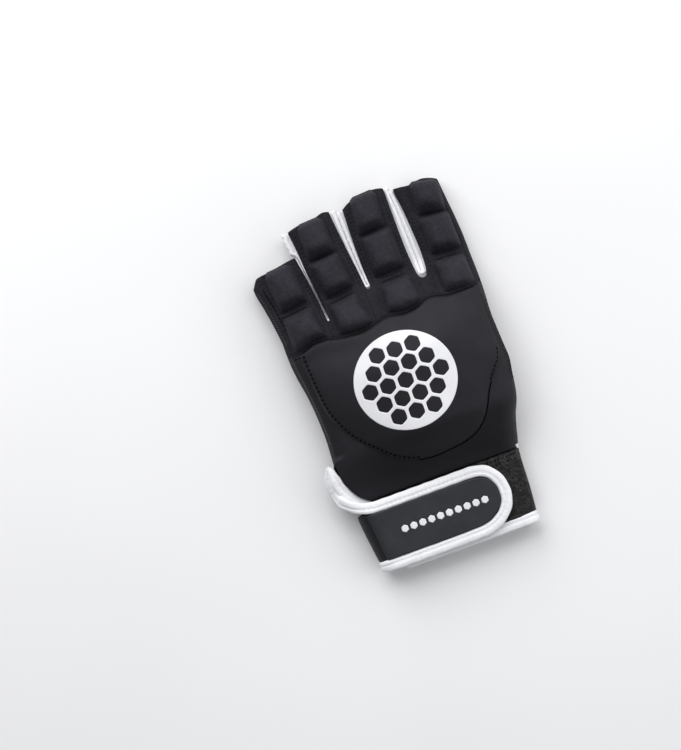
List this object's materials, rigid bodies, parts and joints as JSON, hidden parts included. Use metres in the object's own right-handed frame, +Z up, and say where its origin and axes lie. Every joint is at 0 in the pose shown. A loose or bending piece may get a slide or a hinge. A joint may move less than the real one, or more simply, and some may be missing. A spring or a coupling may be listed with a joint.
{
  "type": "field hockey glove",
  "caption": "Left-hand half-finger field hockey glove with foam finger pads, a domed back shield, a wrist strap and white bindings, lying palm down.",
  "frame": {"origin": "middle of the glove's footprint, on the surface that it lies on", "axes": "+Y from the wrist to the fingertips, +X towards the thumb side, +Z up out of the back of the hand"},
  "size_m": [0.1126, 0.1931, 0.0359],
  "materials": {
    "neoprene": "black neoprene with a fine knit face",
    "knit": "black ribbed stretch knit over foam",
    "palm_suede": "black synthetic suede, matte",
    "loop_fabric": "fuzzy olive-black loop fabric",
    "label": "smooth charcoal label, slight sheen",
    "white_fabric": "white stretch fabric and folded tape"
  },
  "bodies": {
    "root": {"palm_panel": "palm_suede", "finger_back": "knit", "hand_back": "neoprene", "cuff_loop_panel": "loop_fabric", "shield_cover": "neoprene", "gusset_little_ring": "white_fabric", "gusset_ring_middle": "white_fabric", "gusset_middle_index": "white_fabric", "wrist_strap": "neoprene", "strap_label": "label", "strap_binding": "white_fabric", "slit_binding": "white_fabric", "cuff_binding": "white_fabric", "thumb_back": "neoprene", "thumb_palm": "palm_suede", "thumb_pad_1": "knit", "thumb_pad_2": "knit", "pad_little_1": "knit", "pad_little_2": "knit", "pad_ring_1": "knit", "pad_ring_2": "knit", "pad_ring_3": "knit", "pad_middle_1": "knit", "pad_middle_2": "knit", "pad_middle_3": "knit", "pad_index_1": "knit", "pad_index_2": "knit", "pad_index_3": "knit"}
  },
  "joints": []
}
